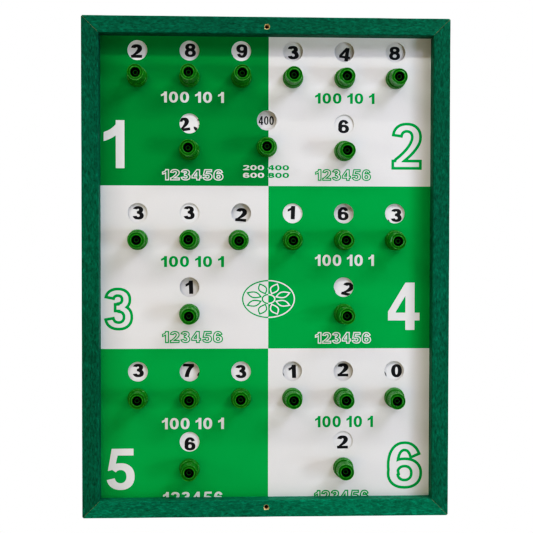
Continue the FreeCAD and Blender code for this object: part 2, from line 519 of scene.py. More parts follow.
def oval(middle, radii, angle):
    # slightly squarer than an ellipse, as bold figures are
    across, up = cos(radians(angle)), sin(radians(angle))
    square = 0.9
    x = abs(across) ** square * (1 if across >= 0 else -1)
    z = abs(up) ** square * (1 if up >= 0 else -1)
    return middle[0] + radii[0] * x, middle[1] + radii[1] * z


def bend(start, pull, end, steps=6):
    # a parabola from start to end
    points = []
    for i in range(steps + 1):
        t = i / steps
        first, second, third = (1 - t) ** 2, 2 * t * (1 - t), t * t
        points.append(tuple(first * a + second * b + third * c for a, b, c in zip(start, pull, end)))
    return points


def block(left, bottom, right, top):
    return [(left, bottom), (right, bottom), (right, top), (left, top)]


def figureShapes(figure, width, stem, bar):
    # overlapping outlines that together make one figure from 0 to 9
    half = width / 2

    def bow(x, z, reachX, reachZ, start, end):
        # a stretch of an oval ring, between two angles in degrees
        steps = max(3, int(abs(end - start) / 10))
        angles = [start + (end - start) * i / steps for i in range(steps + 1)]
        outer = [oval((x, z), (reachX, reachZ), a) for a in angles]
        inner = [oval((x, z), (reachX - stem, reachZ - bar), a) for a in reversed(angles)]
        return outer + inner

    if figure == 0:
        return [bow(half, 0.5, half, 0.5, 0, 180), bow(half, 0.5, half, 0.5, 180, 360)]
    if figure == 1:
        right = half + stem / 2 + 0.12
        left = right - stem
        flag = bend((left + 0.3 * stem, 1), (left - 0.03, 0.82), (left - 0.25, 0.75))
        flag += bend((left - 0.25, 0.56), (left - 0.09, 0.61), (left + 0.01, 0.69))
        return [block(left, 0, right, 1), flag + [(right - 0.4 * stem, 0.69), (right - 0.4 * stem, 1)]]
    if figure == 2:
        x, z, reachX, reachZ = 0.49 * width, 0.70, 0.48 * width, 0.30
        outer = oval((x, z), (reachX, reachZ), -28)
        inner = oval((x, z), (reachX - stem, reachZ - bar), -28)
        leftEdge = bend(inner, (inner[0] - 0.10 * width, 0.43), (0.10 * width, 0.20)) + [(0, 0)]
        rightEdge = bend(outer, (outer[0] - 0.14 * width, 0.36), (0.40 * width, bar))
        slant = leftEdge + [(0.4 * width, 0)] + rightEdge[::-1]
        return [bow(x, z, reachX, reachZ, 172, -28), slant, block(0, 0, 0.97 * width, bar)]
    if figure == 3:
        upper = bow(0.46 * width, 0.735, 0.45 * width, 0.265, 168, -88)
        lower = bow(0.49 * width, 0.30, 0.49 * width, 0.30, 88, -170)
        return [upper, lower, block(0.36 * width, 0.535 - bar / 2, 0.60 * width, 0.535 + bar / 2)]
    if figure == 4:
        right, foot, head = 0.84 * width, 0.20, 0.20 + bar
        left = right - stem
        reach = head + 0.02 + (left - 0.85 * stem) * (1 - head - 0.02) / left
        slant = [(0, head + 0.02), (0, foot), (0.85 * stem, foot), (0.85 * stem, head + 0.02),
                 (left, reach), (left + 0.05, reach), (left + 0.05, 1), (left, 1)]
        return [slant, block(0, foot, width, head), block(left, 0, right, 1)]
    if figure == 5:
        stalk = [(0.17 * width, 1), (0.03 * width, 0.465), (0.03 * width + 0.8 * stem, 0.50),
                 (0.17 * width + 0.82 * stem, 1 - bar * 0.5)]
        top = block(0.17 * width, 1 - bar, 0.94 * width, 1)
        return [top, stalk, bow(0.48 * width, 0.325, 0.5 * width, 0.325, 142, -168)]
    if figure == 7:
        right, left = (0.98 * width, 1 - bar * 0.9), (0.98 * width - 1.1 * stem, 1 - bar * 0.9)
        slant = bend(right, (0.60 * width, 0.55), (0.20 * width + stem, 0))
        slant += bend((0.20 * width, 0), (0.24 * width, 0.50), left)
        return [block(0, 1 - bar, 0.98 * width, 1), slant]
    if figure == 8:
        small, large = (half, 0.735, 0.455 * width, 0.265), (half, 0.30, half, 0.30)
        return [bow(*ring, start, start + 180) for ring in (small, large) for start in (0, 180)]
    loop = [bow(half, 0.32, half, 0.32, 0, 180), bow(half, 0.32, half, 0.32, 180, 360),
            bow(half, 0.5, half, 0.5, 28, 100), bow(half, 0.5, half, 0.5, 100, 215)]
    if figure == 6:
        return loop
    return [[(width - x, 1 - z) for x, z in shape] for shape in loop]      # a 9 is a 6 turned round


def textShapes(text, style, left, bottom, right, top):
    # the outlines of a row of figures that fills the box
    width, stem, bar, gap = figureStyles[style]
    shapes, at = [], 0.0
    for letter in text:
        if letter == " ":
            at += 0.45 * width
            continue
        weight = dialWeights.get(int(letter), 1.0) if style == "dial" else 1.0
        outlines = figureShapes(int(letter), width, stem * weight, bar * weight)
        low = min(x for outline in outlines for x, z in outline)
        high = max(x for outline in outlines for x, z in outline)
        shapes += [[(x - low + at, z) for x, z in outline] for outline in outlines]
        at += high - low + gap
    stretch = (right - left) / (at - gap)
    return [[(left + x * stretch, bottom + z * (top - bottom)) for x, z in shape] for shape in shapes]


def unite(shapes):
    # one set of flat triangles that covers all the shapes
    points, loops = [], []
    for shape in shapes:
        turning = sum(a[0] * b[1] - b[0] * a[1] for a, b in zip(shape, shape[1:] + shape[:1]))
        shape = shape if turning > 0 else shape[::-1]
        loops.append(list(range(len(points), len(points) + len(shape))))
        points += [Vector((x / mm, z / mm)) for x, z in shape]
    found, _, triangles, _, _, sources = delaunay_2d_cdt(points, [], loops, 0, 1e-4)
    kept = [triangle for triangle, source in zip(triangles, sources) if source]
    return [(p.x * mm, p.y * mm) for p in found], kept


def borderLoops(points, triangles):
    sides = {(t[i], t[(i + 1) % 3]) for t in triangles for i in range(3)}
    onward = {}
    for a, b in sides:
        if (b, a) not in sides:
            onward.setdefault(a, []).append(b)
    loops = []
    while onward:
        start = next(iter(onward))
        loop, at = [], start
        while at in onward:
            loop.append(at)
            following = onward[at].pop()
            if not onward[at]:
                del onward[at]
            at = following
        loops.append([points[i] for i in loop])
    return loops


def strokeShapes(loop, width):
    # the line of a closed loop, as wide as given: a bar for each stretch and a kite in each corner
    shortest, straight = 0.05 * mm, 0.02        # of stretches that are kept, and corners left open
    sharpest = 0.4                              # keeps a kite from reaching out too far
    loop = [Vector(point) for point in loop]
    loop = [point for i, point in enumerate(loop) if (point - loop[i - 1]).length > shortest]
    half, shapes = width / 2, []
    for i, end in enumerate(loop):
        start, after = loop[i - 1], loop[(i + 1) % len(loop)]
        way, onward = (end - start).normalized(), (after - end).normalized()
        side, nextSide = Vector((-way.y, way.x)) * half, Vector((-onward.y, onward.x)) * half
        shapes.append([start - side, end - side, end + side, start + side])
        turning = way.cross(onward)
        if abs(turning) > straight:
            if turning > 0:
                side, nextSide = -side, -nextSide
            corner = (side + nextSide).normalized()
            reach = half / max(sharpest, corner.dot(side) / half)
            shapes.append([end, end + side, end + corner * reach, end + nextSide])
    return [[tuple(point) for point in shape] for shape in shapes]


def addPlate(bm, shapes, front, back):
    # a thin closed plate over the shapes, between two depths
    points, triangles = unite(shapes)
    used = sorted({i for triangle in triangles for i in triangle})
    near = {i: bm.verts.new((points[i][0], front, points[i][1])) for i in used}
    far = {i: bm.verts.new((points[i][0], back, points[i][1])) for i in used}
    sides = {(t[i], t[(i + 1) % 3]) for t in triangles for i in range(3)}
    for a, b, c in triangles:
        bm.faces.new((near[a], near[b], near[c]))
        bm.faces.new((far[c], far[b], far[a]))
    for a, b in sides:
        if (b, a) not in sides:
            bm.faces.new((near[b], near[a], far[a], far[b]))


# Geometry Nodes: a tree is built once, and run on a piece with its own inputs
def startTree(name, **sockets):
    tree = bpy.data.node_groups.new(name, "GeometryNodeTree")
    tree.interface.new_socket("Geometry", in_out="OUTPUT", socket_type="NodeSocketGeometry")
    tree.interface.new_socket("Geometry", in_out="INPUT", socket_type="NodeSocketGeometry")
    for label, kind in sockets.items():
        label = label.replace("_", " ")
        tree.interface.new_socket(label, in_out="INPUT", socket_type="NodeSocket" + kind)
    return tree, addNode(tree, "NodeGroupInput").outputs, addNode(tree, "NodeGroupOutput")


def endTree(tree, output, geometry):
    tree.links.new(geometry, output.inputs[0])


def runTree(piece, tree, **values):
    # the evaluated result becomes the piece's plain mesh
    modifier = piece.modifiers.new(tree.name, "NODES")
    modifier.node_group = tree
    inputs = [item for item in tree.interface.items_tree if item.in_out == "INPUT"]
    sockets = {item.name: item.identifier for item in inputs}
    for label, value in values.items():
        modifier[sockets[label.replace("_", " ")]] = value
    piece.update_tag()
    evaluated = piece.evaluated_get(bpy.context.evaluated_depsgraph_get())
    result = bpy.data.meshes.new_from_object(evaluated)
    result.name = piece.name
    piece.modifiers.remove(modifier)
    piece.data = result


# front panel: a printed board, drilled for the windows, the spindles and the wall screws
panel = {"rimBreak": 0.10 * mm, "holeSides": 72, "cellSize": 9.6 * mm, "inkHeight": 0.10 * mm}


def drillTree():
    tree, inputs, output = startTree("drillPanel", Board="Vector", Middle="Vector", Cells_Across="Int",
                                     Cells_Up="Int", Rim_Break="Float", Hole_Sides="Int", Print="Material",
                                     Core="Material", Back="Material")
    cube = addNode(tree, "GeometryNodeMeshCube",
                   {"Size": inputs["Board"], "Vertices X": math(tree, "ADD", inputs["Cells Across"], 1.0),
                    "Vertices Z": math(tree, "ADD", inputs["Cells Up"], 1.0)}).outputs[0]
    board = addNode(tree, "GeometryNodeTransform",
                    {"Geometry": cube, "Translation": inputs["Middle"]}).outputs[0]
    deep = addNode(tree, "ShaderNodeSeparateXYZ", {0: inputs["Board"]}).outputs[1]
    radius = addNode(tree, "GeometryNodeInputNamedAttribute", {"Name": "holeRadius"},
                     data_type="FLOAT").outputs[0]
    points = addNode(tree, "GeometryNodeMeshToPoints", {"Mesh": inputs["Geometry"]}).outputs[0]
    turned = (-pi / 2, 0.0, 0.0)        # so that the tools point backwards
    through = addNode(tree, "GeometryNodeMeshCylinder",
                      {"Vertices": inputs["Hole Sides"], "Radius": 1.0,
                       "Depth": math(tree, "MULTIPLY", deep, 3.0)}).outputs[0]
    scale = addNode(tree, "ShaderNodeCombineXYZ", {0: radius, 1: radius, 2: 1.0}).outputs[0]
    drills = addNode(tree, "GeometryNodeInstanceOnPoints",
                     {"Points": points, "Instance": through, "Rotation": turned,
                      "Scale": scale}).outputs[0]
    # the flare's side slopes at 45 degrees, from a rim break wider than the hole
    flare = addNode(tree, "GeometryNodeMeshCone",
                    {"Vertices": inputs["Hole Sides"], "Radius Top": 0.0, "Radius Bottom": 1.0,
                     "Depth": 1.0}).outputs[0]
    wide = math(tree, "ADD", radius, inputs["Rim Break"])
    flareScale = addNode(tree, "ShaderNodeCombineXYZ", {0: wide, 1: wide, 2: wide}).outputs[0]
    lift = addNode(tree, "ShaderNodeCombineXYZ", {1: math(tree, "MULTIPLY", deep, -0.5)}).outputs[0]
    raised = addNode(tree, "GeometryNodeSetPosition", {"Geometry": points, "Offset": lift}).outputs[0]
    flares = addNode(tree, "GeometryNodeInstanceOnPoints",
                     {"Points": raised, "Instance": flare, "Rotation": turned,
                      "Scale": flareScale}).outputs[0]
    drilled = board
    for cutter in (drills, flares):
        cutter = addNode(tree, "GeometryNodeRealizeInstances", {0: cutter}).outputs[0]
        cut = addNode(tree, "GeometryNodeMeshBoolean", {"Mesh 1": drilled},
                      operation="DIFFERENCE", solver="EXACT")
        tree.links.new(cutter, cut.inputs["Mesh 2"])
        drilled = cut.outputs[0]
    coated = addNode(tree, "GeometryNodeSetMaterial",
                     {"Geometry": drilled, "Material": inputs["Core"]}).outputs[0]
    normal = addNode(tree, "GeometryNodeInputNormal").outputs[0]
    backward = addNode(tree, "ShaderNodeSeparateXYZ", {0: normal}).outputs[1]
    facing = {"Print": math(tree, "LESS_THAN", backward, -0.9),
              "Back": math(tree, "GREATER_THAN", backward, 0.9)}
    for label, chosen in facing.items():
        coated = addNode(tree, "GeometryNodeSetMaterial",
                         {"Geometry": coated, "Selection": chosen, "Material": inputs[label]}).outputs[0]
    endTree(tree, output, addNode(tree, "GeometryNodeRealizeInstances", {0: coated}).outputs[0])
    return tree


def makePanel():
    holes = [(*windowPlace(name), windowRadius) for name in dialNames]
    holes += [(*dialAxis(name), bearingRadius) for name in dialNames]
    holes += [(0.0, side * screwHeight, screwRadius) for side in (1, -1)]
    middle = (panelLow + panelHigh) / 2
    mesh = bpy.data.meshes.new("scorePanel")
    mesh.from_pydata([(x, middle.y, z) for x, z, radius in holes], [], [])
    radii = [radius for x, z, radius in holes]
    mesh.attributes.new("holeRadius", "FLOAT", "POINT").data.foreach_set("value", radii)
    piece = makeObject("scorePanel", mesh)
    board = panelHigh - panelLow
    # cells smaller than a spindle hole, and an even number, so that every hole crosses some borders
    across, up = (2 * round(size / panel["cellSize"] / 2) for size in (board.x, board.z))
    runTree(piece, drillTree(), Board=board, Middle=middle, Cells_Across=across, Cells_Up=up,
            Rim_Break=panel["rimBreak"], Hole_Sides=panel["holeSides"], Print=printFace, Core=panelCore,
            Back=hardboard)
    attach(piece, "board")
    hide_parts("front_panel")
    print("panel drilled:", len(piece.data.polygons), "faces,", len(holes), "holes")


makePanel()

# what is printed on the panel: left, bottom, right and top of each in millimetres, and the width of
# the line where the figures are drawn in outline
printed = {
    "numerals": {
        "1": (-240.2, 147.3, -209.7, 218.0), "2": (186.5, 147.0, 232.1, 217.0, 4.1),
        "3": (-239.9, -92.8, -197.3, -29.1, 4.1), "4": (182.3, -92.6, 230.0, -21.6),
        "5": (-236.8, -330.4, -195.5, -268.7), "6": (181.6, -331.9, 235.1, -260.2, 4.1),
    },
    "upperRows": ((-155.9, 244.3, -63.0, 260.5), (72.0, 244.4, 160.8, 260.0), (-156.1, 1.5, -62.9, 17.7),
                  (72.6, 3.2, 161.0, 20.1), (-154.9, -240.2, -62.8, -223.2), (73.3, -238.4, 160.5, -221.4)),
    "lowerRows": ((-154.5, 129.6, -63.7, 146.4, 1.6), (72.3, 130.0, 156.0, 147.4, 1.6),
                  (-154.8, -111.6, -64.3, -93.6, 1.6), (72.9, -113.0, 157.0, -95.5, 1.6),
                  (-153.5, -351.2, -64.2, -333.9), (72.1, -351.5, 155.0, -332.7, 1.8)),
    "middleRows": {"200 400": (-34.8, 145.2, 33.6, 152.8), "600 800": (-34.8, 133.9, 33.6, 141.5)},
    "rosette": (-36.1, -74.5, 42.9, -17.8, 1.9),
}
rosette = {"ovalSteps": 60, "hub": 0.24, "petals": 8, "petalSteps": 9,
           "petalStart": 0.32, "petalLength": 0.56, "petalHalfWidth": 0.15}     # of the oval's reach


def inMetres(*sizes):
    return [size * mm for size in sizes]


def outlined(shapes, line):
    strokes = []
    for loop in borderLoops(*unite(shapes)):
        strokes += strokeShapes(loop, line)
    return strokes


def drawnText(text, style, *sizes):
    left, bottom, right, top, line = inMetres(*sizes, 0.0)[:5]
    half = line / 2
    shapes = textShapes(text, style, left + half, bottom + half, right - half, top - half)
    return outlined(shapes, line) if line else shapes


def rosetteShapes(left, bottom, right, top, line):
    # a ring of pointed petals round a small oval, inside a large one
    middle = Vector(((left + right) / 2, (bottom + top) / 2))
    reach = Vector(((right - left - line) / 2, (top - bottom - line) / 2))
    loops = []
    steps = rosette["ovalSteps"]
    turns = [radians(i * 360 / steps) for i in range(steps)]
    for size in (1.0, rosette["hub"]):
        loops.append([middle + Vector((reach.x * cos(t), reach.y * sin(t))) * size for t in turns])
    steps = rosette["petalSteps"]
    for petal in range(rosette["petals"]):
        turn = 2 * pi * (petal + 0.5) / rosette["petals"]
        sides = []
        for bulge in (1, -1):
            for i in range(steps):
                t = i / steps if bulge > 0 else 1 - i / steps
                along = rosette["petalStart"] + rosette["petalLength"] * t
                across = rosette["petalHalfWidth"] * sin(pi * t) * bulge
                x = along * cos(turn) - across * sin(turn)
                z = along * sin(turn) + across * cos(turn)
                sides.append(middle + Vector((reach.x * x, reach.y * z)))
        loops.append(sides)
    return [stroke for loop in loops for stroke in strokeShapes(loop, line)]


def makePrint():
    bm = bmesh.new()
    front = panelFront - panel["inkHeight"]
    items = [drawnText(figure, "numeral", *place) for figure, place in printed["numerals"].items()]
    items += [drawnText("100 10 1", "word", *place) for place in printed["upperRows"]]
    items += [drawnText("123456", "word", *place) for place in printed["lowerRows"]]
    items += [drawnText(text, "small", *place) for text, place in printed["middleRows"].items()]
    items.append(rosetteShapes(*inMetres(*printed["rosette"])))
    for shapes in items:
        addPlate(bm, shapes, front, panelFront)
    # the inks change over at the fields' borders, and the print ends at the frame
    cuts = [((printColours["column"], 0, 0), (1, 0, 0), False)]
    cuts += [((0, 0, printColours[row]), (0, 0, 1), False) for row in ("upperRow", "lowerRow")]
    cuts.append(((0, 0, -openingHalfHeight), (0, 0, -1), True))
    for point, normal, cleared in cuts:
        everything = bm.verts[:] + bm.edges[:] + bm.faces[:]
        bmesh.ops.bisect_plane(bm, geom=everything, plane_co=point, plane_no=normal, dist=1e-7,
                               clear_outer=cleared)
    bmesh.ops.holes_fill(bm, edges=[edge for edge in bm.edges if edge.is_boundary], sides=0)
    for face in bm.faces:
        middle = face.calc_center_median()
        right = middle.x > printColours["column"]
        outer = middle.z > printColours["upperRow"] or middle.z < printColours["lowerRow"]
        face.material_index = 1 if outer == right else 0       # green ink on the white fields
    piece = makeObject("printedFigures", meshFrom("printedFigures", bm), whiteInk, greenInk)
    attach(piece, "board")
    print("print laid:", len(piece.data.polygons), "faces")


makePrint()

# number wheels: a disc and its spindle, with a ring of ten printed figures, or of five hundreds
wheel = {
    "sides": 96, "thickness": 1.0 * mm, "edgeRound": 0.3 * mm, "spindleRadius": 5.0 * mm,
    "filletWidth": 0.6 * mm, "filletHeight": 0.3 * mm,          # at the spindle's foot
    "figureHeight": 19.7 * mm, "targetHeight": 12.8 * mm, "targetWidth": 22.4 * mm, "inkHeight": 0.12 * mm,
    "oneFlag": 0.25, "oneShift": 1.5 * mm,                      # how a 1 is widened, and set to the left
    "strayTurn": 1.2, "strayShift": 0.5 * mm,                   # degrees, and out or in
}
# the number shown in each window (for the target its place among the hundreds), how far it stands
# right and up of the window's middle in millimetres and its tilt in degrees, and how far right and up
# the knob's front leans in millimetres
dialSettings = {
    "f1_hundreds": (2, -1.5, -1.1, 0, 0.0, 1.3), "f1_tens": (8, 1.1, 1.1, 0, 0.0, 2.4),
    "f1_units": (9, 0.8, 0.2, 0, 1.4, 1.9), "f1_rounds": (2, -8.3, -1.2, -9, -0.7, 0.5),
    "f2_hundreds": (3, 0.6, -1.0, -2, -0.1, -0.1), "f2_tens": (4, 1.4, -2.6, 8, 0.7, -1.5),
    "f2_units": (8, -0.9, -0.8, 0, 0.6, -2.0), "f2_rounds": (6, -0.6, -2.9, 0, 1.5, -2.0),
    "f3_hundreds": (3, 0.7, 0.1, 2, 1.2, -1.0), "f3_tens": (3, -0.6, 0.5, 0, -0.3, -0.3),
    "f3_units": (2, 0.1, -2.2, 5, 0.7, -2.1), "f3_rounds": (1, 0.9, -0.5, -2, 0.5, -1.8),
    "f4_hundreds": (1, -0.4, 1.1, 2, -0.8, -1.4), "f4_tens": (6, -0.4, -0.1, 0, 0.2, -1.0),
    "f4_units": (3, 2.8, -2.5, 2, -0.3, -2.1), "f4_rounds": (2, 6.6, -3.0, 13, 2.0, -1.7),
    "f5_hundreds": (3, 0.4, 1.3, 1, 2.1, 1.2), "f5_tens": (7, -2.2, 0.8, 3, 0.9, 1.1),
    "f5_units": (3, -0.2, -0.7, -1, -0.6, 2.0), "f5_rounds": (6, 0.5, -3.5, 1, 0.7, 0.2),
    "f6_hundreds": (1, 1.8, -0.9, -2, 0.8, 0.3), "f6_tens": (2, 0.0, 1.0, 0, 1.1, -0.1),
    "f6_units": (0, 4.0, -0.2, 0, -0.5, -1.1), "f6_rounds": (2, -0.7, -2.1, 0, 0.8, -0.1),
    "target": (2, -0.7, 0.6, 0, -0.8, -2.2),
}


def figureSet(name, texts, style, height, width=None):
    # hidden plates, centred on the origin, for the wheels to be printed with
    group = bpy.data.collections.new(name)
    figureWidth, stem = figureStyles[style][:2]
    for i, text in enumerate(texts):
        bm = bmesh.new()
        span = width * min(1.0, len(text) / 3) if width else height * figureWidth
        shift = 0.0
        if text == "1":
            span, shift = height * (stem + wheel["oneFlag"]), wheel["oneShift"]
        shapes = textShapes(text, style, -span / 2 - shift, -height / 2, span / 2 - shift, height / 2)
        addPlate(bm, shapes, -wheel["inkHeight"], 0.0)
        group.objects.link(bpy.data.objects.new(f"{name}{i}", meshFrom(f"{name}{i}", bm)))
    return group


def figureRingTree():
    tree, inputs, output = startTree("figureRing", Figures="Collection", Steps="Int", Shown="Int",
                                     Axis="Vector", Ring_Radius="Float", Turn="Float", Tilt="Float",
                                     Stray_Turn="Float", Stray_Shift="Float", Seed="Int", Ink="Material")
    points = addNode(tree, "GeometryNodePoints", {"Count": inputs["Steps"]}).outputs[0]
    index = addNode(tree, "GeometryNodeInputIndex").outputs[0]
    places = math(tree, "SUBTRACT", index, inputs["Shown"])
    step = math(tree, "DIVIDE", 2 * pi, inputs["Steps"])
    others = math(tree, "MINIMUM", math(tree, "ABSOLUTE", places), 1.0)    # 0 for the number shown
    strays = []
    for offset, size in ((0, "Stray Turn"), (1, "Stray Shift")):
        seed = math(tree, "ADD", math(tree, "MULTIPLY", inputs["Seed"], 2.0), float(offset))
        stray = addNode(tree, "FunctionNodeRandomValue", {2: -1.0, 3: 1.0, "ID": index, "Seed": seed})
        stray = math(tree, "MULTIPLY", stray.outputs[1], inputs[size])
        strays.append(math(tree, "MULTIPLY", stray, others))
    turn = math(tree, "ADD", math(tree, "MULTIPLY", places, step),
                math(tree, "ADD", inputs["Turn"], strays[0]))
    radius = math(tree, "ADD", inputs["Ring Radius"], strays[1])
    across = math(tree, "MULTIPLY", math(tree, "SINE", turn), radius)
    up = math(tree, "MULTIPLY", math(tree, "COSINE", turn), radius)
    spot = addNode(tree, "ShaderNodeCombineXYZ", {0: across, 2: up}).outputs[0]
    spot = addNode(tree, "ShaderNodeVectorMath", {0: spot, 1: inputs["Axis"]}, operation="ADD").outputs[0]
    points = addNode(tree, "GeometryNodeSetPosition", {"Geometry": points, "Position": spot}).outputs[0]
    figures = addNode(tree, "GeometryNodeCollectionInfo",
                      {"Collection": inputs["Figures"], "Separate Children": True,
                       "Reset Children": True}).outputs[0]
    lean = addNode(tree, "ShaderNodeCombineXYZ", {1: math(tree, "ADD", turn, inputs["Tilt"])}).outputs[0]
    ring = addNode(tree, "GeometryNodeInstanceOnPoints",
                   {"Points": points, "Instance": figures, "Pick Instance": True, "Instance Index": index,
                    "Rotation": lean}).outputs[0]
    ring = addNode(tree, "GeometryNodeRealizeInstances", {0: ring}).outputs[0]
    ring = addNode(tree, "GeometryNodeSetMaterial",
                   {"Geometry": ring, "Material": inputs["Ink"]}).outputs[0]
    both = addNode(tree, "GeometryNodeJoinGeometry")
    tree.links.new(ring, both.inputs[0])
    tree.links.new(inputs["Geometry"], both.inputs[0])
    endTree(tree, output, both.outputs[0])
    return tree


def makeWheel(name, seed, figures, tree):
    x, z = dialAxis(name)
    low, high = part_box("wheel_" + name)
    radius, back = high.z - z, high.y
    front = back - wheel["thickness"]
    bm = bmesh.new()
    edge, spindle = wheel["edgeRound"], wheel["spindleRadius"]
    profile = [(0, back)] + arcPoints((radius - edge, back - edge), edge, -90, 0, 3)
    profile += arcPoints((radius - edge, front + edge), edge, 0, 90, 3)
    profile += [(spindle + wheel["filletWidth"], front), (spindle, front - wheel["filletHeight"])]
    profile += [(spindle, low.y), (0, low.y)]
    addRings(bm, profile, x, z, wheel["sides"])
    piece = makeObject("numberWheel_" + name, meshFrom("numberWheel_" + name, bm, 40), wheelWhite)
    shown, right, up, tilt = dialSettings[name][:4]
    windowX, windowZ = windowPlace(name)
    across, above = windowX + right * mm - x, windowZ + up * mm - z
    turn = atan2(across, above)
    runTree(piece, tree, Figures=figures, Steps=len(figures.objects), Shown=shown, Axis=(x, front, z),
            Ring_Radius=hypot(across, above), Turn=turn, Tilt=radians(tilt) - turn,
            Stray_Turn=radians(wheel["strayTurn"]), Stray_Shift=wheel["strayShift"], Seed=seed,
            Ink=figureInk)
    body = "dial_" + name
    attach(piece, body)
    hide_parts("wheel_" + name)


def makeWheels():
    tree = figureRingTree()
    numbers = figureSet("figure", [str(i) for i in range(10)], "dial", wheel["figureHeight"])
    targets = figureSet("hundreds", ["0", "200", "400", "600", "800"], "target",
                        wheel["targetHeight"], wheel["targetWidth"])
    for seed, name in enumerate(dialNames):
        makeWheel(name, seed, targets if name == "target" else numbers, tree)
    print("wheels made:", len(dialNames))


makeWheels()

# knobs: turned in one piece, a ridged skirt and tube with a deep well for the clamp screw
knob = {
    "sides": 64, "skirtRadius": 15.0 * mm, "skirtTop": 14.3 * mm, "skirtLength": 11.0 * mm,
    "tubeRadius": 12.4 * mm, "rimRadius": 11.9 * mm, "wellRadius": 6.8 * mm, "wellDepth": 19.0 * mm,
    "edgeRound": 0.9 * mm, "rimRound": 0.55 * mm, "grooveDepth": 0.3 * mm,
    "skirtRidges": 3, "tubeRidges": 5, "ridgeHeight": 0.45 * mm, "ridgeSteps": 6,
    "sleeveRadius": 3.7 * mm, "sleeveBore": 2.6 * mm, "sleeveDepth": 3.0 * mm,  # guides the screwdriver
    "screwRadius": 2.4 * mm, "screwHeight": 1.5 * mm, "screwTurn": 0.7,     # radians from one to the next
}
# how light or dark each part of a knob is painted: 0 is painted shade, nearly black, in the well; 0.5 is
# the plain body; 1 is painted highlight and wear on the crests and rims
knobPaintedLight = {"back": 0.45, "furrow": 0.42, "crest": 0.87, "shoulder": 0.75, "neck": 0.35, "rim": 0.95,
            "groove": 0.4, "ring": 1.0, "mouth": 0.5, "sleeve": 0.6, "bore": 0.4, "well": 0.0}


def ridged(radiusBack, radiusFront, back, front, ridges):
    # a slightly tapered length with low rounded ridges, evenly spaced; the crests are painted paler
    # (painted highlight and wear) and the furrows a little darker (painted shade)
    points, steps = [], ridges * knob["ridgeSteps"]
    for i in range(steps + 1):
        t = i / steps
        crest = max(0.0, sin(2 * pi * t * ridges)) ** 2
        radius = radiusBack + (radiusFront - radiusBack) * t + knob["ridgeHeight"] * crest
        wear = knobPaintedLight["furrow"] + (knobPaintedLight["crest"] - knobPaintedLight["furrow"]) * crest
        points.append((radius, back + (front - back) * t, wear))
    return points


# gives points the painted light and wear value listed for their part
def worn(part, *points):
    return [(radius, y, knobPaintedLight[part]) for radius, y in points]


def knobProfile(back, front):
    # from the axis at the back, round the outside and down into the well, to the axis again
    skirt, top, neck = knob["skirtRadius"], knob["skirtTop"], knob["tubeRadius"] - 0.2 * mm
    rim, well = knob["rimRadius"], knob["wellRadius"]
    edge, lip, groove = knob["edgeRound"], knob["rimRound"], front + knob["grooveDepth"]
    shoulder = back - knob["skirtLength"]
    profile = worn("back", (0, back), *arcPoints((skirt - edge, back - edge), edge, -90, 0, 3))
    profile += ridged(skirt, top, back - 2 * edge, shoulder + 2 * edge, knob["skirtRidges"])
    profile += worn("shoulder", *arcPoints((top - edge, shoulder + edge), edge, 0, 90, 4))
    profile += worn("neck", (neck, shoulder), (neck, shoulder - 0.8 * mm))
    profile += ridged(knob["tubeRadius"], rim, shoulder - 1.6 * mm, front + 2 * lip, knob["tubeRidges"])
    # the front: a rim and a ring round the well painted paler (painted highlight and wear), and a shallow
    # groove painted a little darker (painted shade)
    profile += worn("rim", *arcPoints((rim - lip, front + lip), lip, 0, 90, 4))
    profile += worn("rim", (rim - 0.9 * mm, front + 0.05 * mm))
    profile += worn("groove", (rim - 1.2 * mm, groove), (well + 2.1 * mm, groove))
    profile += worn("ring", (well + 1.8 * mm, front + 0.1 * mm), (well + 1.2 * mm, front))
    profile += worn("mouth", (well + lip, front))
    profile += worn("mouth", *arcPoints((well + lip, front + lip), lip, 90, 180, 4)[1:])
    # the well, painted nearly black with painted shade, and in it the sleeve that leads down to the clamp
    # screw
    sleeve, bore = knob["sleeveRadius"], knob["sleeveBore"]
    floor, end = front + knob["wellDepth"], front + knob["sleeveDepth"]
    profile += worn("well", (well, front + 1.6 * mm), (well - 0.3 * mm, floor - 0.4 * mm))
    profile += worn("well", (well - 0.6 * mm, floor), (sleeve + 0.3 * mm, floor))
    profile += worn("sleeve", (sleeve, end + 0.3 * mm), (sleeve - 0.3 * mm, end), (bore + 0.2 * mm, end))
    profile += worn("bore", (bore, end + 0.3 * mm))
    profile += worn("well", (bore, end + 2 * mm), (bore, floor), (0, floor))
    return profile


# a pan head with a cross-shaped recess, in shares of its radius and height
panHead = {
    "sides": 32, "armLength": 0.62, "armHalfWidth": 0.16, "recessDepth": 0.55, "recessTaper": 0.75,
    "outline": ((1.0, 1.0), (1.0, 0.6), (0.86, 0.2), (0.70, 0.0)),      # radius, and depth from the top
}


def ringCorners(sides):
    return [2 * pi * i / sides for i in range(sides)]


def joinRings(bm, rings):
    # walls between rings of the same number of corners
    for near, far in zip(rings, rings[1:]):
        count = len(near)
        for i in range(count):
            bm.faces.new((near[i], near[(i + 1) % count], far[(i + 1) % count], far[i]))


